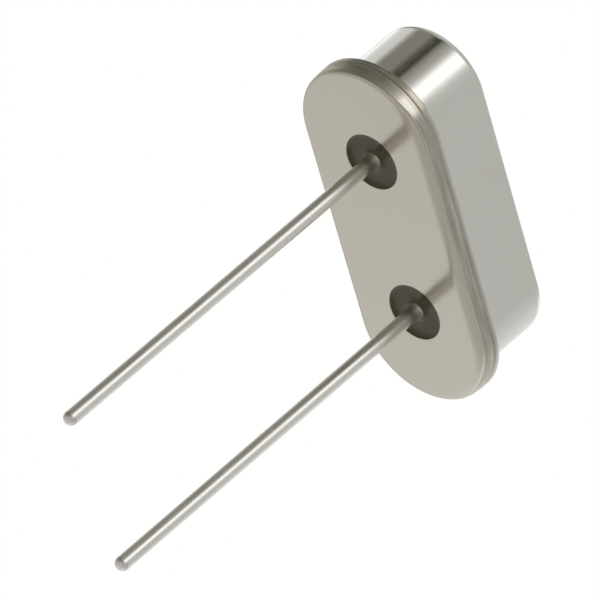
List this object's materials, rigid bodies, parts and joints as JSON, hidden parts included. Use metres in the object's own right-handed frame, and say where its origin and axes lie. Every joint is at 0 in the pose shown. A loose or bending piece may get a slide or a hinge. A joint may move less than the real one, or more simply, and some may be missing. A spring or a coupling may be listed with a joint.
{
  "type": "two-lead quartz crystal unit",
  "caption": "Low-profile quartz crystal unit: pill-shaped metal can welded to a flat header, with two straight leads through glass seals.",
  "frame": {"origin": "centre of the header's flat underside, midway between the two leads, on the board's surface", "axes": "+Z away from the board, towards the top of the can, with the leads pointing along -Z; +X along the line through both leads; +Y across the can's width"},
  "size_m": [0.0108, 0.0044, 0.0166],
  "materials": {
    "can_metal": "satin",
    "header_metal": "satin",
    "seal_glass": "gloss",
    "lead_metal": "polished",
    "clip_metal": "satin",
    "quartz": "matte",
    "electrode_silver": "satin",
    "silver_adhesive": "matte"
  },
  "bodies": {
    "root": {"can_cover": "can_metal", "header_base": "header_metal", "glass_seal_left": "seal_glass", "glass_seal_right": "seal_glass", "lead_left": "lead_metal", "lead_right": "lead_metal", "spring_clip_left": "clip_metal", "spring_clip_right": "clip_metal", "quartz_blank": "quartz", "electrode_front": "electrode_silver", "electrode_back": "electrode_silver", "adhesive_left": "silver_adhesive", "adhesive_right": "silver_adhesive"}
  },
  "joints": []
}
